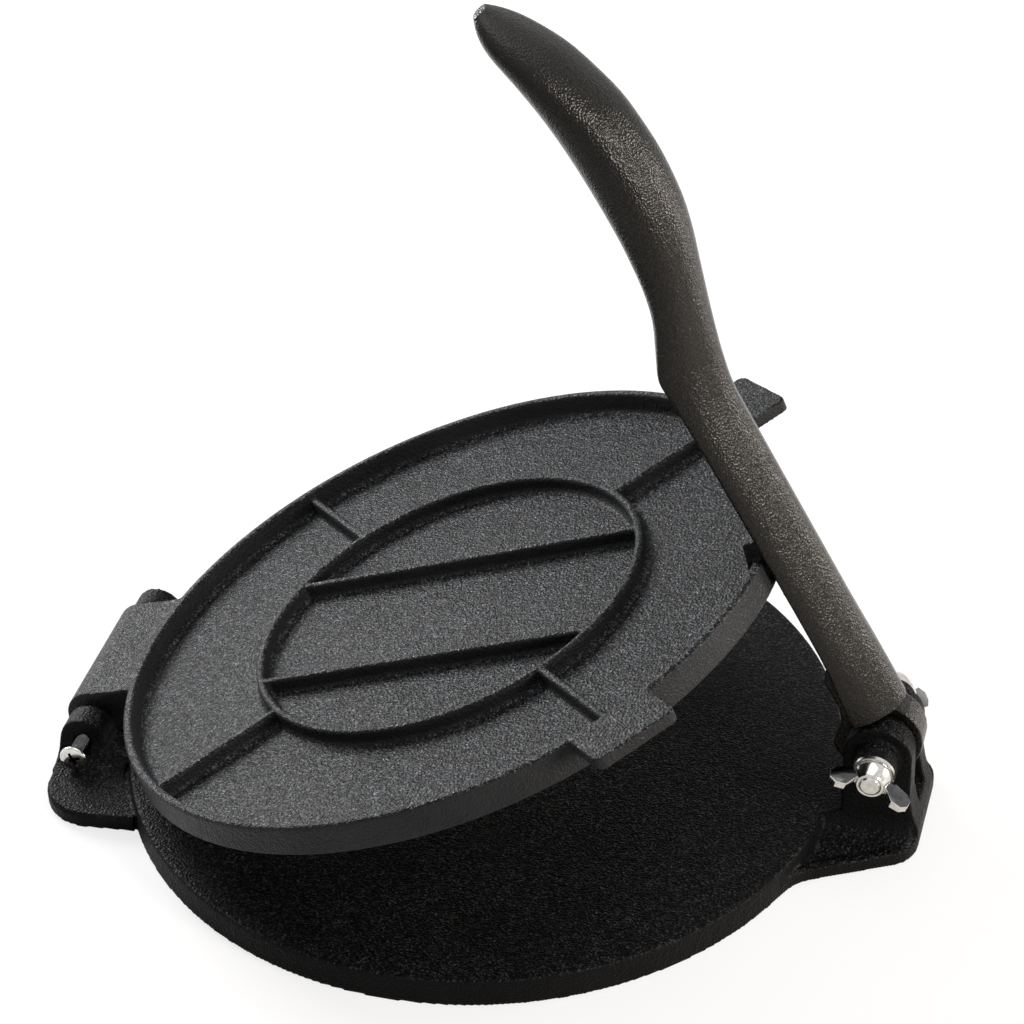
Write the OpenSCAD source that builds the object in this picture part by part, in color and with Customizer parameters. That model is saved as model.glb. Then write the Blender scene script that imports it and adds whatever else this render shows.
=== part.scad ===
// Cast iron tortilla press: two round plates hinged at the back, with a folding lever at the front
// that presses them together. Millimetres. The origin is the centre of the base plate at the level
// that it stands on, +X points to the lever, +Z points up. The upper plate is drawn part open.

/* [Base plate] */
// Diameter of the base plate where it stands
base_d = 266.8; // [240:0.1:320]
// Height of the lower pressing face
base_h = 10.4; // [8:0.1:16]
// Thickness of the base plate between its ribs
base_web = 5.8; // [4:0.1:7.5]
// Width of the standing rim under the base plate
base_rim_w = 6; // [4:0.5:10]
// How much narrower the base plate is at its top edge, on the radius
base_draft = 0.8; // [0:0.1:2]

/* [Upper plate] */
// Diameter of the upper plate at the top of its rim
lid_d = 256; // [230:0.5:310]
// Height of the upper plate from its pressing face to the top of its rim
lid_h = 11.8; // [9:0.1:16]
// Thickness of the upper plate between its ribs
lid_web = 3.8; // [3:0.1:5]
// Width of the rim at its top
lid_rim_w = 3.4; // [2.5:0.1:5]
// How much wider the upper plate is at its pressing face, on the radius
lid_draft = 0.7; // [0:0.1:1.5]
// Gap between the two pressing faces when the press is shut
shut_gap = 0.3; // [0.1:0.1:1]
// How far the upper plate is open as drawn, in degrees
open_angle = 20.61; // [14:0.01:30]

/* [Ribs of the upper plate] */
// Height of the ribs above the plate between them
rib_h = 6; // [3:0.1:7]
// Width of a rib at its top
rib_w = 3.2; // [2.4:0.1:5]
// Inner diameter of the ring rib
ring_d = 145; // [110:1:170]
// Distance from the middle of the plate to the straight rib on the far side
far_bar_y = 25.4; // [15:0.1:35]
// Distance from the middle of the plate to the straight rib on the near side
near_bar_y = 33.4; // [15:0.1:40]

/* [Tabs and press pad] */
// Width of each lifting tab
tab_w = 32; // [20:0.5:40]
// Distance from the middle of the plate to the outer edge of a tab
tab_reach = 145.3; // [140:0.1:165]
// Thickness of a tab
tab_t = 4.8; // [3:0.1:8]
// Width of the pad that the lever presses on
pad_w = 25; // [15:0.5:26]
// Height of the pad above the rim
pad_h = 6.7; // [4:0.1:8]
// Length of the pad at its top, measured inwards from the edge of the plate
pad_len = 6; // [4:0.1:9]

/* [Hinge] */
// Distance from the edge of the base plate to the hinge axis
hinge_setback = 10.4; // [9:0.1:20]
// Height of the hinge axis above the lower pressing face
hinge_rise = 1.45; // [0:0.05:3]
// Diameter of the hinge barrel on the upper plate
barrel_d = 23.4; // [18:0.1:26]
// Length of the hinge barrel
barrel_len = 56.8; // [40:0.1:70]
// Gap between the barrel and each hinge lug
barrel_gap = 3; // [0.3:0.1:4]
// Thickness of each hinge lug
lug_t = 10; // [6:0.1:16]
// Radius of the rounded top of each hinge lug
lug_r = 9.2; // [8:0.1:14]
// Radius of the sweep from each lug's outer side into its foot
lug_flare = 12; // [6:0.5:14]
// Diameter of the hinge screws' shanks
screw_d = 6; // [5:0.1:7]
// Diameter of the hinge screws' heads
screw_head_d = 10.7; // [9:0.1:13]
// Length of the near screw that stands clear of its lug, under the head
near_standoff = 8; // [0.5:0.1:12]
// Length of the far screw that stands clear of its lug, under the head
far_standoff = 0.8; // [0.5:0.1:12]
// Length of screw thread inside the barrel
screw_grip = 16; // [8:0.5:22]

/* [Rear feet] */
// Distance from the middle of the press to the outer side of the near rear foot
near_foot_y = 74.6; // [56:0.1:90]
// Distance from the middle of the press to the outer side of the far rear foot
far_foot_y = 58; // [56:0.1:90]
// Height of the rear feet
foot_h = 6; // [4:0.1:9]
// Distance from the hinge axis to the back edge of the feet
foot_back = 8.5; // [7:0.1:20]
// Radius of the rounded corner of each foot
foot_corner = 19; // [8:0.5:26]

/* [Front tongue] */
// Distance from the edge of the base plate to the front of the tongue
tongue_reach = 32.1; // [29:0.1:50]
// Half width of the tongue where its front corners begin
tongue_front_y = 29.2; // [26:0.1:40]
// How much each side of the tongue spreads towards the plate, in degrees
tongue_spread = 27.5; // [15:0.5:40]
// Radius of the tongue's front corners
tongue_corner = 13; // [8:0.5:20]
// Radius of the sweep from the plate's edge into the tongue
tongue_flare = 20; // [8:0.5:40]
// Height of the lip around the tongue
lip_h = 5.2; // [4:0.1:8]
// Thickness of the lip
lip_t = 3.6; // [2.5:0.1:6]
// Thickness of the tongue inside the lip
tongue_web = 2.4; // [2:0.1:3.5]

/* [Lever ears] */
// Distance from the edge of the base plate to the lever's pivot
pivot_setback = 15.9; // [15:0.1:24]
// Height of the lever's pivot above the table
pivot_z = 38.5; // [36:0.1:50]
// Radius of the rounded top of each ear
ear_r = 12.3; // [10:0.1:13]
// Width of the slot between the ears
ear_gap = 12; // [10:0.1:16]
// Thickness of the near ear at its top
near_ear_t = 9.5; // [6:0.1:12]
// Thickness of the far ear at its top
far_ear_t = 6.5; // [6:0.1:12]
// How much thicker each ear is at its root
ear_taper = 2; // [0:0.1:3]
// Height of the block that the ears stand on
ear_block_h = 15; // [12:0.1:18]
// Height of the floor of the slot between the ears
slot_floor = 12.5; // [8:0.1:14]
// Diameter of the round boss on the outer side of each ear
boss_d = 15.6; // [15.5:0.1:20]
// How far the near boss stands out from the ear's top edge, up to the washer's seat
near_boss_out = 8.3; // [3:0.1:12]
// How far the far boss stands out from the ear's top edge, up to the washer's seat
far_boss_out = 7.6; // [3:0.1:12]

/* [Pivot stud and nuts] */
// Diameter of the pivot stud
stud_d = 8; // [6:0.1:9]
// Length of stud that stands out past each wing nut's hub
stud_out = 0.3; // [0:0.1:6]
// Radial running clearance of a shaft in its bore
run_clear = 0.05; // [0.02:0.01:0.1]
// Outer diameter of the washers
washer_d = 15.3; // [14:0.1:20]
// Thickness of the washers
washer_t = 1.5; // [1:0.1:2.5]
// Diameter of a wing nut's hub at its seat
hub_d = 13.4; // [12:0.1:16]
// Height of a wing nut's hub
hub_h = 6; // [5:0.1:10]
// Distance between the tips of a wing nut
wing_span = 30; // [26:0.5:40]
// Height of a wing nut over its wings
wing_h = 11.6; // [9:0.1:22]
// Thickness of the wings
wing_t = 3; // [1.6:0.1:4]
// Radius of the wings' round tips
wing_tip_r = 4.2; // [2.5:0.1:4.4]
// Angle that the near wing nut is turned to, in degrees
near_turn = 18; // [-90:1:90]
// Angle that the far wing nut is turned to, in degrees
far_turn = 46; // [-90:1:90]

/* [Lever] */
// Length of the lever from its pivot to its tip
lever_len = 305; // [270:1:360]
// Width of the lever's channel across its open edges
bar_w = 32; // [30.5:0.1:40]
// Height of the channel's crest over its open edges
bar_h = 13.8; // [11:0.1:18]
// Thickness of the channel's walls
bar_wall = 3; // [2:0.1:3.5]
// Distance from the pivot to the knee below the grip
knee_u = 168; // [150:1:180]
// Width of the grip
grip_w = 32; // [26:0.1:38]
// Depth of the grip
grip_h = 25; // [20:0.1:30]
// How far the grip's back stands out from the bar's line
grip_lift = 18; // [10:0.1:24]
// Thickness of the lever's pivot tongue
lever_tongue_t = 11; // [8:0.1:11.4]
// Radius of the pivot tongue's round end
lever_tongue_r = 16.4; // [12:0.1:17]
// Gap between the open edges of the channel and the rim of the upper plate as drawn
lean_gap = 1.2; // [0.4:0.1:2]

/* [Hidden] */
$fn = 96;

iron = [0.16, 0.16, 0.17];
steel = [0.72, 0.72, 0.74];
e = 0.01;                                     // overlap where pieces of one solid join
edge_r = 1.1;                                 // rounding of the castings' edges
fillet_r = 2;                                 // rounding of the castings' inner corners
rib_root = 0.5;                               // depth that the ribs are sunk into the plate
ring_foot = 1.2;                              // slope at the foot of the ring ribs
ring_top = 0.8;                               // broken edge along the top of the ring ribs
straight_foot = 0.9;                          // slope at the foot of the straight ribs
straight_top = 0.7;                           // broken edge along the top of the straight ribs
rib_step = 0.3;                               // the straight ribs stand this much lower
root_len = 20;                                // length of an outer piece's root inside the plate
corner_setback = 9.4;                         // from the tongue's front to where its width is given
block_flare = 11;                             // sweep from the ears' block down to the tongue
block_clear = 0.8;                            // gap between the block and the shut upper plate
block_ramp = 13;                              // length of the slope that leads up to the block
ear_sweep = 10.5;                             // height over which the ears run out into the lip
foot_draw = 2;                                // how much each foot narrows towards the plate
head_clear = 1.2;                             // clearance round the far screw's head

base_r = base_d / 2;
hinge_x = -base_r - hinge_setback;
hinge_z = base_h + hinge_rise;
barrel_r = barrel_d / 2;
lug_in = barrel_len / 2 + barrel_gap;
lug_out = lug_in + lug_t;

lid_r = lid_d / 2;
lid_z = base_h + shut_gap;                    // underside of the shut upper plate
lid_top = lid_z + lid_h;
rim_in = lid_r - lid_rim_w;

pivot_x = base_r + pivot_setback;
ear_in = ear_gap / 2;
near_out = ear_in + near_ear_t;               // outer faces of the ears at their tops
far_out = ear_in + far_ear_t;
near_seat = near_out + near_boss_out;         // flat seats of the two washers
far_seat = far_out + far_boss_out;
past_seat = washer_t + hub_h + stud_out;      // length of stud outside each seat

// Front corner of the upper plate's rim as drawn, seen from the lever's pivot
corner_x = (lid_r - hinge_x) * cos(open_angle) - (lid_top - hinge_z) * sin(open_angle)
           + hinge_x - pivot_x;
corner_z = (lid_r - hinge_x) * sin(open_angle) + (lid_top - hinge_z) * cos(open_angle)
           + hinge_z - pivot_z;
lean = atan2(corner_z, corner_x) - acos(-lean_gap / norm([corner_x, corner_z]));

function arc(c, r, a0, a1, n) =
    [for (i = [0:n]) let (a = a0 + (a1 - a0) * i / n) c + r * [cos(a), sin(a)]];
function flip(pts) = [for (i = [len(pts) - 1:-1:0]) [pts[i].x, -pts[i].y]];

// Places what is drawn for the shut press where the part-open upper plate is
module open_pose() {
    translate([hinge_x, 0, hinge_z]) rotate([0, -open_angle, 0])
        translate([-hinge_x, 0, -hinge_z]) children();
}

// Lies the XY outline of its children in the XZ plane, centred on y = 0
module across(width) {
    rotate([90, 0, 0]) linear_extrude(width, center = true) children();
}

// Section of a cast rib that stands on y = 0, sloped at its foot and broken along its top edges
module rib_section(width, height, foot, top) {
    half = width / 2;
    side = [[half + foot, -rib_root], [half + foot, 0], [half, 1.3 * foot],
            [half - 0.1, height - top], [half - top, height]];
    polygon(concat(side, [for (i = [len(side) - 1:-1:0]) [-side[i].x, side[i].y]]));
}

module straight_rib(from, to, width, height) {
    along = to - from;
    translate([from.x, from.y, 0]) rotate([0, 0, atan2(along.y, along.x)])
        rotate([90, 0, 90]) linear_extrude(norm(along))
            rib_section(width, height - rib_step, straight_foot, straight_top);
}

module ring_rib(inner_r, width, height) {
    rotate_extrude() translate([inner_r + width / 2, 0])
        rib_section(width, height, ring_foot, ring_top);
}

// ---- base ----

module base_disc() {
    top_r = base_r - base_draft;
    hollow = base_h - base_web;
    rim_r = base_r - base_rim_w;
    rotate_extrude() polygon(concat(
        [[0, hollow]],
        arc([rim_r - fillet_r, hollow - fillet_r], fillet_r, 90, 0, 3),
        [[rim_r, 0], [base_r, 0]],
        arc([top_r - edge_r, base_h - edge_r], edge_r, 0, 90, 3),
        [[0, base_h]]));
}

// Ribs under the base plate: a cross through the middle and a ring, flush with the standing rim
module base_ribs() {
    hollow = base_h - base_web;
    half = base_r - base_rim_w / 2;
    for (a = [45, 135])
        rotate([0, 0, a]) translate([0, 0, hollow + e]) mirror([0, 0, 1])
            straight_rib([-half, 0], [half, 0], rib_w, hollow + e);
    translate([0, 0, hollow + e]) mirror([0, 0, 1]) ring_rib(ring_d / 2, rib_w, hollow + e);
}

// Half outline of the front tongue, drawn in from its edge by inset
function tongue_side(inset) =
    let (
        front = base_r + tongue_reach - inset,
        n = [sin(tongue_spread), cos(tongue_spread)],
        t = [cos(tongue_spread), -sin(tongue_spread)],
        line = n * [base_r + tongue_reach - corner_setback, tongue_front_y] - inset,
        k = line + tongue_flare + inset,
        c_flare = k * n + sqrt(pow(base_r + tongue_flare, 2) - k * k) * t,
        r_corner = tongue_corner - inset,
        c_corner = [front - r_corner, (line - r_corner - (front - r_corner) * n.x) / n.y],
        a_disc = atan2(c_flare.y, c_flare.x) + 180,
        a_line = 270 - tongue_spread)
    concat(
        [[base_r - root_len, c_flare.y * 0.85], c_flare * (base_r - 4) / (base_r + tongue_flare)],
        arc(c_flare, tongue_flare + inset, a_disc, a_line, 6),
        arc(c_corner, r_corner, 90 - tongue_spread, 0, 6));

module tongue_outline(inset) {
    side = tongue_side(inset);
    polygon(concat(flip(side), side));
}

module front_tongue() {
    difference() {
        linear_extrude(lip_h) tongue_outline(0);
        translate([0, 0, tongue_web]) linear_extrude(lip_h) tongue_outline(lip_t);
    }
}

// Block under the ears, which slopes down to the tongue on both sides
module ear_block() {
    block_front = base_r + tongue_reach - lip_t / 2;
    ramp = lid_r + lid_draft + block_clear;
    root = near_out + ear_taper;
    far_root = far_out + ear_taper;
    near_foot = root + block_flare;
    far_foot = far_root + block_flare;
    intersection() {
        across(2 * tongue_front_y) polygon([[base_r - root_len, 0], [block_front, 0],
            [block_front, lip_h], [pivot_x + ear_r, ear_block_h], [ramp + block_ramp, ear_block_h],
            [ramp, base_h - 0.1],
            [base_r - root_len, base_h - 0.1]]);
        rotate([90, 0, 90]) linear_extrude(base_r + tongue_reach) polygon(concat(
            [[-near_foot, 0], [far_foot, 0], [far_foot, tongue_web]],
            arc([far_foot, ear_block_h], block_flare, 262, 190, 5),
            [[far_root, ear_block_h + 1], [-root, ear_block_h + 1]],
            arc([-near_foot, ear_block_h], block_flare, 350, 278, 5),
            [[-near_foot, tongue_web]]));
        linear_extrude(ear_block_h + e) tongue_outline(lip_t / 2);
    }
}

module ears() {
    root = near_out + ear_taper;
    far_root = far_out + ear_taper;
    top = pivot_z + ear_r;
    front = base_r + tongue_reach - 0.1;
    intersection() {
        across(2 * root) polygon(concat(
            [[pivot_x - ear_r, tongue_web], [front, tongue_web], [front, slot_floor - 4.5],
             [pivot_x + ear_r + 1.2, slot_floor + ear_sweep / 3],
             [pivot_x + ear_r, slot_floor + ear_sweep]],
            arc([pivot_x, pivot_z], ear_r, 0, 180, 16)));
        rotate([90, 0, 90]) linear_extrude(base_r + tongue_reach + ear_r) polygon(concat(
            [[-root, 0], [far_root, 0], [far_root, ear_block_h]],
            arc([far_out - edge_r, top - edge_r], edge_r, 0, 90, 3),
            arc([edge_r - near_out, top - edge_r], edge_r, 90, 180, 3),
            [[-root, ear_block_h]]));
    }
    translate([pivot_x, ear_in, pivot_z]) rotate([-90, 0, 0])
        cylinder(d1 = boss_d + 1, d2 = boss_d, h = far_seat - ear_in);
    translate([pivot_x, -ear_in, pivot_z]) rotate([90, 0, 0])
        cylinder(d1 = boss_d + 1, d2 = boss_d, h = near_seat - ear_in);
}

// One rear foot with its hinge lug, on the +Y side
module rear_foot(reach) {
    foot_slab(reach, 0, foot_h - edge_r, 0);
    foot_slab(reach, foot_h - edge_r - e, edge_r + e, edge_r * 0.7);
    hinge_lug();
}

// Layer of a rear foot from height z up, drawn in from its edge by inset
module foot_slab(reach, z, height, inset) {
    back = hinge_x - foot_back;
    root_x = root_len - base_r;
    c = [back + foot_corner, reach - foot_corner];
    translate([0, 0, z]) linear_extrude(height) polygon(concat(
        [[root_x, lug_in], [back + inset, lug_in]],
        arc(c, foot_corner - inset, 180, 90, 8),
        [[root_x, reach - inset - foot_draw]]));
}

// Lug with a rounded top, whose outer side sweeps down into the foot
module hinge_lug() {
    wide = lug_t + lug_flare;
    intersection() {
        translate([0, lug_in + wide / 2, 0]) across(wide) polygon(concat(
            [[hinge_x - foot_back, 0], [root_len - base_r, 0], [root_len - base_r, base_h - e],
             [hinge_x + lug_r, base_h - e]],
            arc([hinge_x, hinge_z], lug_r, 0, 180, 14)));
        translate([hinge_x - 2 * lug_r, 0, 0]) rotate([90, 0, 90]) linear_extrude(4 * lug_r)
            polygon(concat([[lug_in, 0], [lug_in + wide, 0]],
                arc([lug_in + wide, foot_h + lug_flare], lug_flare, 270, 180, 6),
                [[lug_out, 3 * lug_r], [lug_in, 3 * lug_r]]));
    }
}

module base() {
    color(iron) difference() {
        union() {
            base_disc();
            base_ribs();
            ears();
            difference() {
                union() {
                    front_tongue();
                    ear_block();
                    rear_foot(far_foot_y);
                    mirror([0, 1, 0]) rear_foot(near_foot_y);
                }
                // The roots of the outer pieces end inside the standing rim
                cylinder(r = base_r - base_rim_w / 2, h = base_h - base_web);
            }
        }
        // Slot for the lever's tongue, open to the front over the floor
        translate([pivot_x - ear_r - 1, -ear_in, slot_floor]) cube([60, ear_gap, 90]);
        // Room for the hinge barrel
        translate([hinge_x, 0, hinge_z]) rotate([90, 0, 0])
            cylinder(r = barrel_r + 0.8, h = 2 * lug_in, center = true);
        translate([hinge_x - 40, -lug_in, -1]) cube([40, 2 * lug_in, 60]);
        pivot_bore(2 * (near_seat + past_seat));
        hinge_bore(2 * (lug_out + 20));
        // Spot face in the far lug's flare for the head of the driven-in screw
        translate([hinge_x, lug_out, hinge_z]) rotate([-90, 0, 0])
            cylinder(r = screw_head_d / 2 + head_clear, h = lug_flare + e);
    }
}

module pivot_bore(bore_len) {
    translate([pivot_x, 0, pivot_z]) rotate([90, 0, 0])
        cylinder(r = stud_d / 2 + run_clear, h = bore_len, center = true);
}

module hinge_bore(bore_len) {
    translate([hinge_x, 0, hinge_z]) rotate([90, 0, 0])
        cylinder(r = screw_d / 2 + run_clear, h = bore_len, center = true);
}

// ---- upper plate ----

module lid_dish() {
    low_r = lid_r + lid_draft;
    rotate_extrude() polygon(concat(
        [[0, 0], [low_r - 0.6, 0], [low_r, 0.6]],
        arc([lid_r - edge_r, lid_h - edge_r], edge_r, 0, 90, 3),
        arc([rim_in + 0.7, lid_h - 0.7], 0.7, 90, 180, 2),
        arc([rim_in - 0.8 - fillet_r, lid_web + fillet_r], fillet_r, 0, -90, 4),
        [[0, lid_web]]));
}

module lid_ribs() {
    ring_mid = ring_d / 2 + rib_w / 2;
    translate([0, 0, lid_web]) {
        ring_rib(ring_d / 2, rib_w, rib_h);
        for (a = [45:90:315])
            rotate([0, 0, a]) straight_rib([ring_mid, 0], [rim_in, 0], rib_w, rib_h);
        for (y = [far_bar_y, -near_bar_y])
            let (half = sqrt(pow(ring_mid, 2) - y * y))
                straight_rib([-half, y], [half, y], rib_w, rib_h);
    }
}

module lid_tab() {
    half = tab_w / 2;
    r = 3;
    difference() {
        translate([0, 0, lid_h - tab_t]) linear_extrude(tab_t) polygon(concat(
            [[rim_in - 2, -half]],
            arc([tab_reach - r, r - half], r, -90, 0, 4),
            arc([tab_reach - r, half - r], r, 0, 90, 4),
            [[rim_in - 2, half]]));
        cylinder(r = rim_in + 0.3, h = 2 * lid_h);
    }
}

module lid_pad() {
    inner = lid_r - pad_len;
    top = lid_h + pad_h;
    intersection() {
        across(pad_w) polygon(concat(
            [[inner - 2, lid_web - e], [lid_r + 9, lid_web - e], [lid_r + 9, top]],
            arc([inner + 1, top - 1], 1, 90, 180, 3)));
        cylinder(r = lid_r - 0.2, h = 2 * top);
    }
}

// Barrel and the neck that joins it to the rim
module lid_knuckle() {
    difference() {
        union() {
            translate([hinge_x, 0, hinge_z]) rotate([90, 0, 0])
                cylinder(d = barrel_d, h = barrel_len, center = true);
            across(barrel_len) polygon([[hinge_x, lid_z], [-rim_in + 8, lid_z],
                [-rim_in + 8, lid_top], [-lid_r - 2, lid_top], [hinge_x, hinge_z + barrel_r]]);
        }
        translate([0, 0, lid_z + lid_web]) cylinder(r = rim_in + 0.3, h = 2 * lid_h);
        hinge_bore(2 * barrel_len);
    }
}

module upper_plate() {
    color(iron) open_pose() {
        translate([0, 0, lid_z]) {
            lid_dish();
            lid_ribs();
            for (a = [-45, 45]) rotate([0, 0, a]) lid_tab();
            lid_pad();
        }
        lid_knuckle();
    }
}

// ---- lever ----
// The lever is drawn about its pivot: u (Z) runs along it and v (X) is square to it, away from the
// plates. Each station holds u, the half width, the v of the widest line, and the height and depth
// of the section over and under that line.

end_u = ear_r + 1.6;                          // open end of the channel, clear of the ears
hood_len = 42;                                // length over which the end's section changes
hood_slant = 0.15;                            // slope of the channel's end over the pivot
grip_u = knee_u + 67;
STATIONS = [
    [end_u, bar_w / 2 - 0.4, -2.6, bar_h + 2.8, 0.6],
    [ear_r + 12, bar_w / 2 - 0.2, -2.1, bar_h + 2.4, 0.6],
    [ear_r + 26, bar_w / 2, -0.6, bar_h + 0.8, 0.5],
    [ear_r + 45, bar_w / 2, 0, bar_h, 0.4],
    [knee_u - 40, bar_w / 2, 0, bar_h + 0.2, 0.4],
    [knee_u - 20, bar_w / 2, -0.3, bar_h + 0.8, 0.6],
    [knee_u - 8, bar_w / 2, -0.6, bar_h + 3, 1.2],
    [knee_u, bar_w / 2, -0.4, bar_h + 4.6, 2.4],
    [knee_u + 9, grip_w / 2 - 0.6, 4, bar_h + 2.4, 4],
    [knee_u + 19, grip_w / 2 - 1.5, 8.5, bar_h + 0.6, 4.6],
    [knee_u + 29, grip_w / 2 - 1.8, grip_lift - 6, grip_h - 11.3, 6.3],
    [knee_u + 40, grip_w / 2 - 1.2, grip_lift - 3.4, grip_h - 10.9, 7.8],
    [knee_u + 52, grip_w / 2 - 0.5, grip_lift - 1.4, grip_h - 10.6, 9.3],
    [grip_u, grip_w / 2, grip_lift, grip_h - 11.2, grip_h - 14],
    [grip_u + 12, grip_w / 2, grip_lift, grip_h - 12, grip_h - 13.4],
    [grip_u + 24, grip_w / 2, grip_lift - 1, grip_h - 12.8, grip_h - 13.5],
    [lever_len - 34, grip_w / 2 - 0.2, grip_lift - 3.6, grip_h - 14.2, grip_h - 14.6],
    [lever_len - 23, grip_w / 2 - 1, grip_lift - 7, grip_h - 15.4, grip_h - 15.8],
    [lever_len - 12, grip_w / 2 - 3, grip_lift - 11.6, grip_h - 18, grip_h - 17.6],
    [lever_len - 5, grip_w / 2 - 6.5, grip_lift - 14.6, grip_h - 20.4, grip_h - 20.2],
    [lever_len, grip_w / 2 - 11.5, grip_lift - 16.2, grip_h - 23, grip_h - 22.8]];

// Point number i of a round section: superellipse with its own height above and below
function oval(i, sides, half, mid, up, down, power) =
    let (a = 360 * i / sides, c = cos(a), s = sin(a))
    [mid + (s > 0 ? up : down) * sign(s) * pow(abs(s), power), -half * sign(c) * pow(abs(c), power)];

// The bar is peaked, the grip is round, and the end over the pivot is hooded
function lever_ring(s, sides) =
    let (full = min(1, max(0, (s[0] - knee_u + 20) / 60)),
         low = max(0, 1 - (s[0] - end_u) / hood_len),
         power = 2 / (1.6 + 0.4 * full + 0.15 * low))
    [for (i = [0:sides - 1])
        let (p = oval(i, sides, s[1], s[2], s[3], s[4], power))
            concat(p, s[0] - hood_slant * low * max(0, p[0]))];

// Closed solid through rings that have the same number of points
module loft(rings) {
    sides = len(rings[0]);
    count = len(rings);
    last = (count - 1) * sides;
    polyhedron(
        points = [for (ring = rings) each ring],
        faces = concat(
            [[for (i = [0:sides - 1]) i]],
            [for (k = [0:count - 2], i = [0:sides - 1])
                let (j = (i + 1) % sides)
                    each [[k * sides + i, (k + 1) * sides + i, k * sides + j],
                          [k * sides + j, (k + 1) * sides + i, (k + 1) * sides + j]]],
            [[for (i = [sides - 1:-1:0]) last + i]]));
}

// Smooth curve through a list of stations
function spline(p0, p1, p2, p3, t) =
    0.5 * (2 * p1 + (p2 - p0) * t + (2 * p0 - 5 * p1 + 4 * p2 - p3) * t * t
           + (3 * p1 - p0 - 3 * p2 + p3) * t * t * t);
function smooth(list, steps) =
    let (last = len(list) - 1)
    concat([for (k = [0:last - 1], j = [0:steps - 1])
        spline(list[max(k - 1, 0)], list[k], list[k + 1], list[min(k + 2, last)], j / steps)],
        [list[last]]);

module lever_hollow() {
    depth = 14;
    half = bar_w / 2 - bar_wall;
    high = bar_h - bar_wall;
    sides = 24;
    // Distance along the lever, and how much of the full section is hollow there
    ends = [[ear_r - 4, 1], [knee_u - 32, 1], [knee_u - 24, 0.94], [knee_u - 18, 0.8],
            [knee_u - 14, 0.55]];
    loft([for (s = ends)
        [for (i = [0:sides - 1])
            concat(oval(i, sides, half - 4 * (1 - s[1]), 0, high * s[1], depth, 1.2), s[0])]]);
}

// Tongue that turns on the stud, with the heel that bears on the press pad
module lever_tongue() {
    heel_v = pivot_z - lid_top - pad_h - 0.3;
    heel_u = pivot_x - lid_r;
    across(lever_tongue_t) polygon(concat(
        arc([-1.8, 1], lever_tongue_r, 60, -190, 20),
        [[-heel_v - 1.8, heel_u - 10], [-heel_v, heel_u - 3], [-heel_v, heel_u + pad_len + 2],
         [-heel_v + 4, heel_u + pad_len + 9], [0.5, heel_u + 26],
         [bar_h - bar_wall / 2, heel_u + 26], [bar_h - bar_wall / 2, ear_r + 4]]));
}

module lever() {
    sides = 40;
    color(iron) translate([pivot_x, 0, pivot_z]) rotate([0, -lean, 0]) difference() {
        union() {
            difference() {
                loft([for (s = smooth(STATIONS, 3)) lever_ring(s, sides)]);
                lever_hollow();
            }
            lever_tongue();
        }
        rotate([90, 0, 0])
            cylinder(r = stud_d / 2 + run_clear, h = 2 * lever_tongue_t, center = true);
    }
}

// ---- fasteners ----

// Countersunk screw, lying along Y with its head outwards on the +Y side
module hinge_screw(standoff) {
    inner = barrel_len / 2 - screw_grip;
    neck = lug_out + standoff;
    head_h = (screw_head_d - screw_d) / 2;
    rim = 0.7;
    color(steel) translate([hinge_x, 0, hinge_z]) rotate([-90, 0, 0]) difference() {
        rotate_extrude() polygon([[0, inner], [screw_d / 2 - 0.6, inner], [screw_d / 2, inner + 0.6],
            [screw_d / 2, neck], [screw_head_d / 2, neck + head_h],
            [screw_head_d / 2, neck + head_h + rim], [0, neck + head_h + rim + 0.4]]);
        for (a = [0, 90]) rotate([0, 0, a + 45])
            translate([-screw_head_d * 0.3, -0.6, neck + head_h - 1])
                cube([screw_head_d * 0.6, 1.2, 5]);
    }
}

module pivot_stud() {
    chamfer = 0.8;
    r = stud_d / 2;
    near_end = near_seat + past_seat;
    far_end = far_seat + past_seat;
    color(steel) translate([pivot_x, 0, pivot_z]) rotate([90, 0, 0]) rotate_extrude()
        polygon([[0, -far_end], [r - chamfer, -far_end], [r, -far_end + chamfer],
            [r, near_end - chamfer], [r - chamfer, near_end], [0, near_end]]);
}

// Washer on the +Y side, against a seat at that distance from the middle
module washer(seat) {
    color(steel) translate([pivot_x, seat, pivot_z]) rotate([-90, 0, 0]) rotate_extrude()
        polygon([[stud_d / 2 + 0.25, 0], [washer_d / 2, 0], [washer_d / 2, washer_t],
            [stud_d / 2 + 0.25, washer_t]]);
}

// Wing nut on the +Y side, against the washer, with two wings that lean outwards
module wing_nut(seat, turn) {
    bore = stud_d / 2 + run_clear;
    tip = [wing_span / 2 - wing_tip_r, wing_h - wing_tip_r];
    color(steel) translate([pivot_x, seat + washer_t, pivot_z]) rotate([-90, 0, 0])
        rotate([0, 0, turn]) {
        rotate_extrude() polygon([[bore, 0], [hub_d / 2, 0], [hub_d / 2, 1.2],
            [hub_d / 2 - 1.4, hub_h - 0.8], [hub_d / 2 - 2, hub_h], [bore, hub_h]]);
        for (s = [0, 1]) mirror([s, 0, 0]) across(wing_t) polygon(concat(
            [[bore + 0.8, 0.6], [hub_d / 2 + 0.8, 0.6]],
            arc(tip, wing_tip_r, -50, 130, 8),
            [[hub_d / 2 - 1.2, hub_h - 0.4], [bore + 0.8, hub_h - 0.4]]));
    }
}

base();
upper_plate();
lever();
mirror([0, 1, 0]) hinge_screw(near_standoff);  // hinge_screw_near
hinge_screw(far_standoff);  // hinge_screw_far
pivot_stud();
mirror([0, 1, 0]) washer(near_seat);  // washer_near
washer(far_seat);  // washer_far
mirror([0, 1, 0]) wing_nut(near_seat, near_turn);  // wing_nut_near
wing_nut(far_seat, far_turn);  // wing_nut_far
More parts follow.
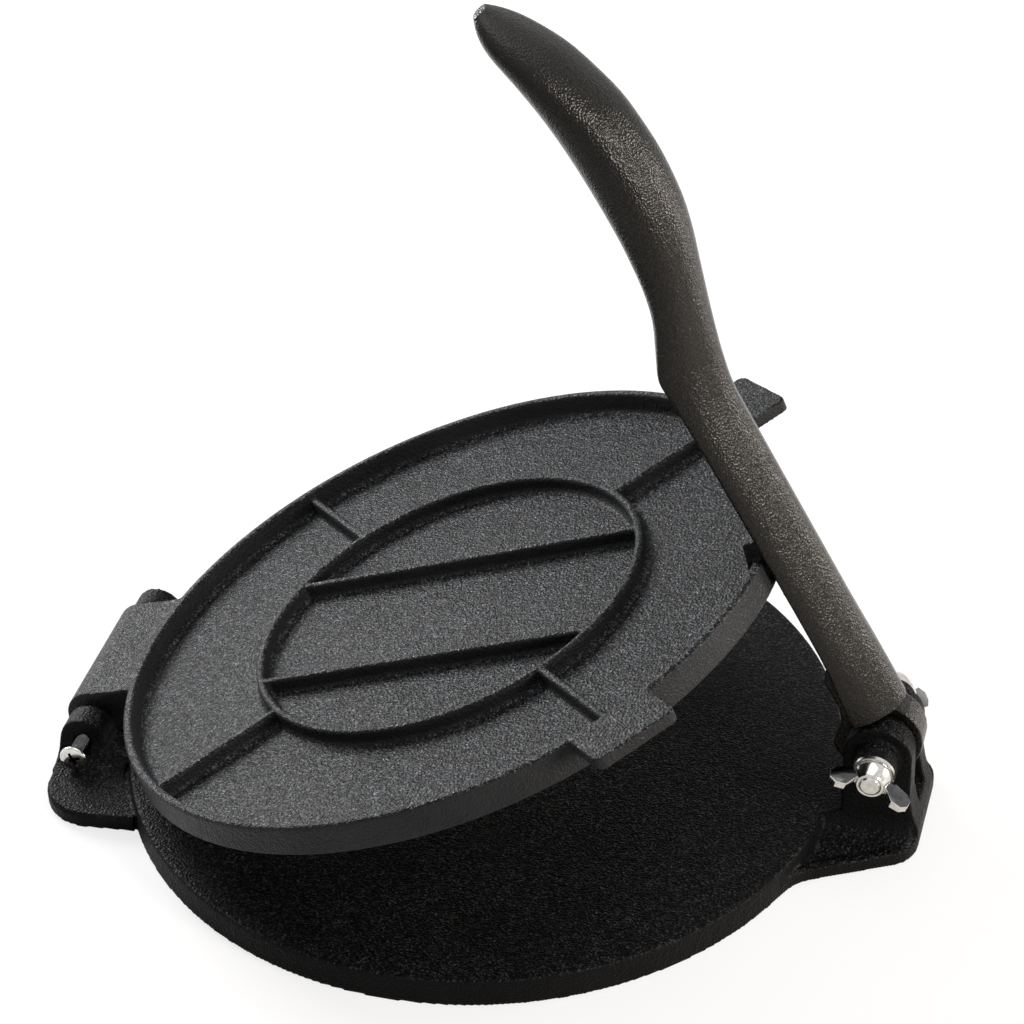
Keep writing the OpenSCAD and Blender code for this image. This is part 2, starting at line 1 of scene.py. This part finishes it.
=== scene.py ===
"""Looks of the cast iron tortilla press: soft cast shapes, grain, threads, floor, lamps, camera.

Lengths are metres, except in the tables marked as millimetres. Each piece made here takes the place
of one CAD node and rides on that node's body.
"""

import math

import bmesh
import bpy
from mathutils import Matrix, Vector

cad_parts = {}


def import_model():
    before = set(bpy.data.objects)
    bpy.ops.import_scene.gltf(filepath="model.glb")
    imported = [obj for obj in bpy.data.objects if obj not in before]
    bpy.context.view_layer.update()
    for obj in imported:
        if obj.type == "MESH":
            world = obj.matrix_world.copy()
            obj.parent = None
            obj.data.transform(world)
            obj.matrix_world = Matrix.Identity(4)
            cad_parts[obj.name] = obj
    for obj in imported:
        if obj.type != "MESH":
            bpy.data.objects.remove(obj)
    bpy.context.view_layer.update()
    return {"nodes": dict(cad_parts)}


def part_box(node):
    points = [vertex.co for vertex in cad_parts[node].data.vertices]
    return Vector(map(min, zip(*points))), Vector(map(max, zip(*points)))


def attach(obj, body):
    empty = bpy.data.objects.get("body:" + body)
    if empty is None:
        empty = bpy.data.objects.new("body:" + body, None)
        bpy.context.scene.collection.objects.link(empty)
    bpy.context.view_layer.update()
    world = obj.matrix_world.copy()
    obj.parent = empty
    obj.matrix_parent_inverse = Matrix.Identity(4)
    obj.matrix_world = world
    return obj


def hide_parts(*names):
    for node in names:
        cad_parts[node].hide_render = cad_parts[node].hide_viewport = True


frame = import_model()
MM = 0.001
FULL_TURN = 2 * math.pi


# ---------------------------------------------------------------- meshes

def linked(name, mesh):
    obj = bpy.data.objects.new(name, mesh)
    bpy.context.scene.collection.objects.link(obj)
    return obj


def smooth_object(name, mesh):
    for poly in mesh.polygons:
        poly.use_smooth = True
    return linked(name, mesh)


def sharp_object(name, mesh, degrees):
    """Smooth object whose edges over the given angle stay sharp in the shading."""
    obj = smooth_object(name, mesh)
    mesh.set_sharp_from_angle(angle=math.radians(degrees))
    return obj


def solid_object(name, bm, *materials):
    """Object from a closed bmesh, with its faces turned outwards."""
    bmesh.ops.recalc_face_normals(bm, faces=bm.faces)
    mesh = bpy.data.meshes.new(name)
    bm.to_mesh(mesh)
    bm.free()
    for material in materials:
        mesh.materials.append(material)
    return linked(name, mesh)


def prism(bm, front, back):
    """Side and end faces between two rings of the same number of vertices."""
    count = len(front)
    for k in range(count):
        n = (k + 1) % count
        bm.faces.new((front[k], front[n], back[n], back[k]))
    bm.faces.new(front)
    bm.faces.new(back[::-1])


def boolean(obj, other, operation):
    m = obj.modifiers.new("boolean", "BOOLEAN")
    m.operation = operation
    m.solver = "EXACT"
    m.object = other


def applied(obj, name, *extra):
    """The object's mesh with its modifiers applied; the object and the extra ones go away."""
    graph = bpy.context.evaluated_depsgraph_get()
    mesh = bpy.data.meshes.new_from_object(obj.evaluated_get(graph), depsgraph=graph)
    for old in (obj, *extra):
        bpy.data.objects.remove(old)
    mesh.name = name
    return mesh


def axis_of(node):
    """X and Z of the middle of a node that lies along Y, and its box."""
    low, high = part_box(node)
    return (low[0] + high[0]) / 2, (low[2] + high[2]) / 2, low, high


# ---------------------------------------------------------------- castings

WELD = 1e-6


def welded_copy(node, name):
    """The CAD node's mesh with its split vertices joined, as a new mesh."""
    mesh = frame["nodes"][node].data.copy()
    mesh.name = name
    bm = bmesh.new()
    bm.from_mesh(mesh)
    bmesh.ops.remove_doubles(bm, verts=bm.verts, dist=WELD)
    bm.to_mesh(mesh)
    bm.free()
    mesh.materials.clear()
    return mesh


def cast(node, name, voxel, rounds, keep):
    """A softened copy of a CAD node: edges and corners get the rounding of a casting.

    voxel is the grid that it is rebuilt on, rounds how often it is smoothed, and keep the share of
    faces that stays.
    """
    obj = linked(name, welded_copy(node, name))
    m = obj.modifiers.new("remesh", "REMESH")
    m.mode = "VOXEL"
    m.voxel_size = voxel
    m = obj.modifiers.new("soften", "SMOOTH")
    m.factor = 0.5
    m.iterations = rounds
    m = obj.modifiers.new("thin", "DECIMATE")
    m.ratio = keep
    return smooth_object(name, applied(obj, name))


# ---------------------------------------------------------------- wing nuts

# (radius, height over the seat), millimetres
HUB_ROWS = ((4.05, 0), (6.45, 0), (6.7, 0.25), (6.7, 1.2), (5.35, 5.2), (4.9, 5.9), (4.6, 6.0),
            (4.05, 6.0))
WING_OUTLINE = ((4.85, 0.7), (7.5, 0.7), (13.2, 4.1), (15.0, 6.7), (14.4, 9.9), (12.0, 11.6),
                (8.4, 10.7), (5.5, 5.3), (4.85, 5.3))
HUB_SPOKES = 48
WING_HALF = 1.7             # half thickness of a wing at the axis, millimetres
WING_TAPER = 0.035          # how fast it thins outwards
NUT_BEVEL = 0.5 * MM
BROAD_FACE_FROM = 6.9 * MM  # the broad faces of the wings lie beyond this radius
BROAD_FACE_COS = 0.985


def wing_nut(name, node, side, degrees, faces, edges):
    """Wing nut along Y: a lathed hub with two flat angular wings, all edges bevelled."""
    x0, z0, low, high = axis_of(node)
    seat = min(abs(low[1]), abs(high[1]))
    c, s = math.cos(math.radians(degrees)), math.sin(math.radians(degrees))

    def place(r, across, w):
        return (x0 + (r * c - across * s) * MM, side * (seat + w * MM),
                z0 - (r * s + across * c) * MM)

    bm = bmesh.new()
    turns = [FULL_TURN * k / HUB_SPOKES for k in range(HUB_SPOKES)]
    rings = [[bm.verts.new(place(r * math.cos(a), r * math.sin(a), w)) for a in turns]
             for r, w in HUB_ROWS]
    for one, two in zip(rings, rings[1:] + rings[:1]):
        for k in range(HUB_SPOKES):
            n = (k + 1) % HUB_SPOKES
            bm.faces.new((one[k], two[k], two[n], one[n]))
    hub = solid_object(name, bm, faces, edges)
    wings = []
    for sign in (1, -1):
        bm = bmesh.new()
        front, back = [[bm.verts.new(place(sign * r, thick * (WING_HALF - WING_TAPER * r), w))
                        for r, w in WING_OUTLINE] for thick in (1, -1)]
        prism(bm, front, back)
        wing = solid_object("wing", bm, faces, edges)
        boolean(hub, wing, "UNION")
        wings.append(wing)
    m = hub.modifiers.new("bevel", "BEVEL")
    m.width = NUT_BEVEL
    m.segments = 2
    m.limit_method = "ANGLE"
    m.angle_limit = math.radians(24)
    mesh = applied(hub, name, *wings)
    # The wings' broad faces take the first material, painted dark as shaded reflection; hub, bevels
    # and edges take the second.
    for poly in mesh.polygons:
        out = math.hypot(poly.center.x - x0, poly.center.z - z0)
        flat = abs(poly.normal.x * s + poly.normal.z * c) > BROAD_FACE_COS
        poly.material_index = 0 if flat and out > BROAD_FACE_FROM else 1
    return sharp_object(name, mesh, 35)


# ---------------------------------------------------------------- hinge screws

SHANK_R = 3.0 * MM
THREAD_PITCH = 1.0 * MM
THREAD_DEPTH = 0.5 * MM
ROWS_PER_PITCH = 8
SCREW_SPOKES = 40
NECK_BACK = 1.1 * MM        # from the top of the head to where its cone starts
RECESS_TURN = 0.45          # how far the cross is turned, radians
RECESS_REACH = 0.6          # share of the head's radius
RECESS_HALF = 0.62 * MM
RECESS_DEPTH = 2.2 * MM


def thread_cut(along, share):
    """Depth of the thread at a place along the screw and a share of a full turn."""
    phase = (along / THREAD_PITCH - share) % 1.0
    return THREAD_DEPTH * min(1.0, max(0.0, 2.6 * abs(phase - 0.5) - 0.15))


def hinge_screw(name, node, side, shank, head):
    """Countersunk screw along Y with a rolled thread and a cross recess in its head."""
    x0, z0, low, high = axis_of(node)
    head_r = (high[0] - low[0]) / 2
    inner, outer = sorted((abs(low[1]), abs(high[1])))
    neck = outer - NECK_BACK - (head_r - SHANK_R)
    count = int((neck - inner) / (THREAD_PITCH / ROWS_PER_PITCH))
    # (place along the screw, radius, whether the thread is cut into it)
    rows = [(inner, 0.0, False), (inner, SHANK_R - 0.7 * MM, False)]
    rows += [(inner + (neck - inner) * i / count, SHANK_R, True) for i in range(1, count)]
    rows += [(neck, SHANK_R - 0.2 * MM, False), (neck + 0.15 * MM, SHANK_R, False)]
    rows += [(outer - back * MM, head_r * share - less * MM, False)
             for back, share, less in ((1.2, 1, 0.1), (1.05, 1, 0), (0.6, 1, 0), (0.45, 1, 0.12),
                                       (0.2, 0.75, 0), (0.05, 0.45, 0))]
    rows.append((outer, 0.0, False))
    bm = bmesh.new()
    rings = []
    for along, r, cut in rows:
        if r == 0:
            rings.append([bm.verts.new((x0, side * along, z0))])
            continue
        ring = []
        for k in range(SCREW_SPOKES):
            a = FULL_TURN * k / SCREW_SPOKES
            rr = r - thread_cut(along, k / SCREW_SPOKES) if cut else r
            ring.append(bm.verts.new((x0 + rr * math.cos(a), side * along, z0 + rr * math.sin(a))))
        rings.append(ring)
    for row, (one, two) in enumerate(zip(rings, rings[1:])):
        for k in range(SCREW_SPOKES):
            n = (k + 1) % SCREW_SPOKES
            if len(one) == 1:
                face = (one[0], two[k], two[n])
            elif len(two) == 1:
                face = (one[k], two[0], one[n])
            else:
                face = (one[k], two[k], two[n], one[n])
            # The shank takes the first material, painted dark as shade; the head takes the second.
            bm.faces.new(face).material_index = 1 if row > count else 0
    screw = solid_object(name, bm, shank, head)
    cutter = cross_recess(Vector((x0, side * (outer + 0.1 * MM), z0)), side, head_r * RECESS_REACH)
    boolean(screw, cutter, "DIFFERENCE")
    return sharp_object(name, applied(screw, name, cutter), 40)


def cross_recess(place, side, reach):
    """Cross-shaped tapered cutter whose wide end is at place, pointing inwards."""
    bm = bmesh.new()
    rings = []
    for along, size in ((0, 1.0), (-RECESS_DEPTH, 0.5)):
        ring = []
        for k in range(4):
            turn = RECESS_TURN + k * FULL_TURN / 4
            c, s = math.cos(turn), math.sin(turn)
            far, half = reach * size, RECESS_HALF * size
            for u, v in ((far, -half), (far, half), (half, half)):
                ring.append(bm.verts.new((place.x + u * c - v * s, place.y + side * along,
                                          place.z + u * s + v * c)))
        rings.append(ring)
    prism(bm, *rings)
    return solid_object("recess_cutter", bm)


# ---------------------------------------------------------------- materials

class Nodes:
    """Short way to wire a material."""

    def __init__(self, name):
        self.mat = bpy.data.materials.new(name)
        self.mat.use_nodes = True
        self.tree = self.mat.node_tree
        self.tree.nodes.clear()
        self.out = self.add("ShaderNodeOutputMaterial")
        self.shader = self.add("ShaderNodeBsdfPrincipled")
        self.link(self.shader.outputs[0], self.out.inputs["Surface"])
        self.coord = self.add("ShaderNodeTexCoord").outputs["Object"]

    def add(self, kind, **values):
        n = self.tree.nodes.new(kind)
        for key, value in values.items():
            setattr(n, key, value)
        return n

    def link(self, a, b):
        self.tree.links.new(a, b)

    def feed(self, a, socket):
        """Link a value to the shader's socket of this name."""
        self.link(a, self.shader.inputs[socket])

    def set(self, **values):
        for key, value in values.items():
            self.shader.inputs[key.replace("_", " ")].default_value = value

    def noise(self, scale, detail=2.0, rough=0.5):
        n = self.add("ShaderNodeTexNoise")
        n.inputs["Scale"].default_value = scale
        n.inputs["Detail"].default_value = detail
        n.inputs["Roughness"].default_value = rough
        self.link(self.coord, n.inputs["Vector"])
        return n.outputs["Fac"]

    def pebbles(self, scale):
        """Rounded grains that melt a little into each other."""
        n = self.add("ShaderNodeTexVoronoi", feature="SMOOTH_F1")
        n.inputs["Scale"].default_value = scale
        n.inputs["Smoothness"].default_value = 0.3
        self.link(self.coord, n.inputs["Vector"])
        return n.outputs["Distance"]

    def grains(self, scale):
        """A different value from 0 to 1 on each small grain."""
        n = self.add("ShaderNodeTexVoronoi", feature="F1")
        n.inputs["Scale"].default_value = scale
        self.link(self.coord, n.inputs["Vector"])
        split = self.add("ShaderNodeSeparateColor")
        self.link(n.outputs["Color"], split.inputs["Color"])
        return split.outputs["Red"]

    def upward(self):
        """How far the surface faces up or down in the piece's own frame, from 0 to 1."""
        split = self.add("ShaderNodeSeparateXYZ")
        self.link(self.coord.node.outputs["Normal"], split.inputs[0])
        n = self.add("ShaderNodeMath", operation="ABSOLUTE")
        self.link(split.outputs["Z"], n.inputs[0])
        return n.outputs[0]

    def mix(self, kind, factor, a, b):
        n = self.add("ShaderNodeMix", data_type="RGBA", blend_type=kind)
        for value, socket in ((factor, n.inputs[0]), (a, n.inputs[6]), (b, n.inputs[7])):
            if isinstance(value, (float, tuple)):
                socket.default_value = value
            else:
                self.link(value, socket)
        return n.outputs[2]

    def ramp(self, value, *stops):
        n = self.add("ShaderNodeValToRGB")
        elements = n.color_ramp.elements
        while len(elements) < len(stops):
            elements.new(0.5)
        for element, (place, colour) in zip(elements, stops):
            element.position = place
            element.color = (*colour, 1)
        self.link(value, n.inputs["Fac"])
        return n.outputs["Color"]

    def spread(self, value, low, high, from_low=0.3, from_high=0.7):
        """The value's range from_low to from_high stretched to low to high."""
        n = self.add("ShaderNodeMapRange")
        n.inputs["From Min"].default_value = from_low
        n.inputs["From Max"].default_value = from_high
        n.inputs["To Min"].default_value = low
        n.inputs["To Max"].default_value = high
        self.link(value, n.inputs["Value"])
        return n.outputs["Result"]

    def bump(self, height, distance, normal=None):
        n = self.add("ShaderNodeBump")
        n.inputs["Distance"].default_value = distance
        n.inputs["Strength"].default_value = 1.0
        self.link(height, n.inputs["Height"])
        if normal is not None:
            self.link(normal, n.inputs["Normal"])
        return n.outputs["Normal"]


BLOTCHES = 34               # slow changes of colour, per metre
UPRIGHT, LEVEL = 0.45, 0.8  # the painted glints fade out between these values of Nodes.upward


def cast_iron(name, dark, light, grain, relief, glints, rough, shine, upright_shade=None):
    """Seasoned cast iron: pebbled sand grain under a thin baked coat of oil, with painted glints:
    bright flecks in the colour.

    glints gives the brightness of the painted glints over the grains, and rough the roughness of
    the dull grains and of the brightest ones. Where the last argument is given, upright faces have
    no painted glints and their colour is multiplied by it, so they come out darker than level
    faces: painted shade.
    """
    m = Nodes(name)
    base = m.ramp(m.noise(BLOTCHES, 3, 0.6), (0.3, dark), (0.7, light))
    cell = m.grains(grain)
    # painted glints: each grain's brightness in the colour stands in for a glint of light
    painted_glint_shade = m.ramp(cell, *((place, (v, v, v)) for place, v in glints))
    if upright_shade:
        # upright faces: painted shade, a plain factor in place of the painted glints
        level = m.spread(m.upward(), 0.0, 1.0, UPRIGHT, LEVEL)
        painted_glint_shade = m.mix("MIX", level, (upright_shade, upright_shade, upright_shade, 1), painted_glint_shade)
    m.feed(m.mix("MULTIPLY", 1.0, base, painted_glint_shade), "Base Color")
    m.feed(m.spread(cell, *rough, 0.45, 1.0), "Roughness")
    coarse = m.bump(m.noise(grain * 0.2, 2, 0.55), relief)
    m.feed(m.bump(m.pebbles(grain * 0.6), relief, coarse), "Normal")
    m.set(Specular_IOR_Level=shine)
    return m.mat


def plated(name, dark, light, rough):
    """Bright plating with a fine haze."""
    m = Nodes(name)
    m.set(Metallic=1.0)
    m.feed(m.ramp(m.noise(600), (0.25, dark), (0.75, light)), "Base Color")
    m.feed(m.spread(m.noise(240), rough - 0.04, rough + 0.06), "Roughness")
    m.feed(m.bump(m.noise(1100), 0.000012), "Normal")
    return m.mat


PLATE_GLINTS = ((0.0, 0.12), (0.50, 0.4), (0.80, 1.6), (0.94, 4.2), (1.0, 7.5))
LEVER_GLINTS = ((0.0, 0.45), (0.60, 0.7), (0.90, 1.3), (0.97, 2.6), (1.0, 4.0))
PLATE_GRAIN, LEVER_GRAIN = 1850, 2300   # grains per metre
PLATE_RELIEF, LEVER_RELIEF = 0.0003, 0.00018

plate_iron = cast_iron("plate_iron", (0.0145, 0.015, 0.0161), (0.0205, 0.0212, 0.0228),
                       PLATE_GRAIN, PLATE_RELIEF, PLATE_GLINTS, (0.42, 0.28), 0.06, upright_shade=1.0)
# The base's iron is the upper plate's iron painted darker as shade, with its upright faces painted
# darker still.
base_iron_shaded = cast_iron("base_iron_shaded", (0.0042, 0.0042, 0.0045), (0.0075, 0.0075, 0.008),
                      PLATE_GRAIN, PLATE_RELIEF, PLATE_GLINTS, (0.48, 0.34), 0.045, upright_shade=0.7)
lever_iron = cast_iron("lever_iron", (0.0034, 0.0026, 0.0018), (0.0056, 0.0045, 0.0033),
                       LEVER_GRAIN, LEVER_RELIEF, LEVER_GLINTS, (0.29, 0.22), 0.20)
plated_steel = plated("plated_steel", (0.46, 0.45, 0.43), (0.66, 0.65, 0.62), 0.16)
# The same plating painted dark: painted shade on the screws' shanks and painted dark reflection on
# the wings' broad faces.
plating_shaded = plated("plating_shaded", (0.06, 0.06, 0.06), (0.11, 0.11, 0.11), 0.14)


# ---------------------------------------------------------------- pieces

def finish_piece(obj, body, node):
    """Ride on the body and take the CAD node's place."""
    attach(obj, body)
    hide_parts(node)


NEAR, FAR = -1, 1           # sides along Y
NUTS = (("wing_nut_near", NEAR, 18), ("wing_nut_far", FAR, 46))
SCREWS = (("hinge_screw_near", NEAR), ("hinge_screw_far", FAR))
# node, name, material slot, material, voxel, rounds of smoothing, share of faces kept
CASTINGS = (("base", "base_casting", "plate_iron", base_iron_shaded, 0.6 * MM, 3, 0.4),
            ("upper_plate", "upper_casting", "plate_iron", plate_iron, 0.55 * MM, 3, 0.4),
            ("lever", "lever_casting", "lever_iron", lever_iron, 0.5 * MM, 4, 0.5))

for node, name, slot_name, iron, voxel, rounds, keep in CASTINGS:
    casting = cast(node, name, voxel, rounds, keep)
    casting.data.materials.append(iron)
    finish_piece(casting, node, node)
for node, side, degrees in NUTS:
    nut = wing_nut(node + "_cast", node, side, degrees, plating_shaded, plated_steel)
    finish_piece(nut, node, node)
for node, side in SCREWS:
    screw = hinge_screw(node + "_thread", node, side, plating_shaded, plated_steel)
    finish_piece(screw, "upper_plate", node)
for node in ("pivot_stud", "washer_near", "washer_far"):
    for slot in frame["nodes"][node].material_slots:
        slot.material = plated_steel


# ---------------------------------------------------------------- stage

FLOOR_DROP = 0.0004         # so that the floor and the feet don't share a plane
FLOOR_GLOW = 0.75           # share of plain white that the camera sees on the floor
WORLD_LIGHT = 0.14
WARM = (1.0, 0.92, 0.82)
MIDDLE = (0, 0, 0.05)
# name, place, target, width, height, watts, colour
LAMPS = (("left_box", (-1.0, 0.68, 0.62), MIDDLE, 0.7, 0.6, 28, (1, 1, 1)),
         ("top_box", (0.1, 0.2, 1.6), MIDDLE, 1.2, 1.2, 11, (1, 1, 1)),
         ("right_box", (1.04, -0.45, 0.52), (0.1, 0, 0.22), 0.32, 0.32, 15, WARM),
         ("crest_box", (1.1, 0.5, 0.24), (0.12, 0, 0.12), 0.25, 0.4, 8, WARM))


def softbox(name, place, target, wide, high, watts, colour):
    data = bpy.data.lights.new(name, "AREA")
    data.shape = "RECTANGLE"
    data.size = wide
    data.size_y = high
    data.energy = watts
    data.color = colour
    obj = linked(name, data)
    obj.location = place
    direction = Vector(target) - Vector(place)
    obj.rotation_euler = direction.to_track_quat("-Z", "Y").to_euler()


def floor():
    """Pale floor that keeps the shadow, with most of its grey taken out for the camera."""
    bm = bmesh.new()
    bmesh.ops.create_grid(bm, x_segments=24, y_segments=24, size=6)
    mesh = bpy.data.meshes.new("floor")
    bm.to_mesh(mesh)
    bm.free()
    obj = smooth_object("floor", mesh)
    obj.location = (0, 0, -FLOOR_DROP)
    m = Nodes("floor_white")
    m.feed(m.ramp(m.noise(3), (0.3, (0.80, 0.80, 0.80)), (0.7, (0.84, 0.84, 0.84))), "Base Color")
    m.set(Roughness=0.9)
    seen = m.add("ShaderNodeLightPath").outputs["Is Camera Ray"]
    glow = m.add("ShaderNodeEmission")
    glow.inputs["Strength"].default_value = 1.0
    blend = m.add("ShaderNodeMixShader")
    m.link(m.spread(seen, 0.0, FLOOR_GLOW, 0.0, 1.0), blend.inputs["Fac"])
    m.link(m.shader.outputs[0], blend.inputs[1])
    m.link(glow.outputs[0], blend.inputs[2])
    m.link(blend.outputs[0], m.out.inputs["Surface"])
    obj.data.materials.append(m.mat)


def world():
    """White behind the object, for the camera and for reflections; a dimmer white as light."""
    w = bpy.data.worlds.new("studio")
    bpy.context.scene.world = w
    w.use_nodes = True
    tree = w.node_tree
    tree.nodes.clear()

    def background(strength):
        n = tree.nodes.new("ShaderNodeBackground")
        n.inputs["Color"].default_value = (1, 1, 1, 1)
        n.inputs["Strength"].default_value = strength
        return n.outputs[0]

    def either(a, b):
        n = tree.nodes.new("ShaderNodeMath")
        n.operation = "MAXIMUM"
        tree.links.new(a, n.inputs[0])
        tree.links.new(b, n.inputs[1])
        return n.outputs[0]

    path = tree.nodes.new("ShaderNodeLightPath").outputs
    seen = either(path["Is Camera Ray"], path["Is Glossy Ray"])
    shown = either(seen, path["Is Transmission Ray"])
    mix = tree.nodes.new("ShaderNodeMixShader")
    tree.links.new(shown, mix.inputs["Fac"])
    tree.links.new(background(WORLD_LIGHT), mix.inputs[1])
    tree.links.new(background(1.0), mix.inputs[2])
    out = tree.nodes.new("ShaderNodeOutputWorld")
    tree.links.new(mix.outputs[0], out.inputs["Surface"])


floor()
world()
for lamp in LAMPS:
    softbox(*lamp)


# ---------------------------------------------------------------- camera

PLACE = (0.27495727, -0.87297256, 0.78312362)
RIGHT = (0.96433006, 0.26255367, -0.03366164)
DOWN = (0.12953709, -0.57898114, -0.80498508)
FORWARD = (-0.23084124, 0.77191088, -0.59233936)

camera = bpy.data.cameras.new("camera")
camera.sensor_width = 36
camera.lens = 112.762
camera.clip_start = 0.05
camera.clip_end = 30
view = linked("camera", camera)
rows = [(RIGHT[i], -DOWN[i], -FORWARD[i], PLACE[i]) for i in range(3)]
view.matrix_world = Matrix((*rows, (0, 0, 0, 1)))
bpy.context.scene.camera = view
bpy.context.scene.view_settings.view_transform = "Standard"
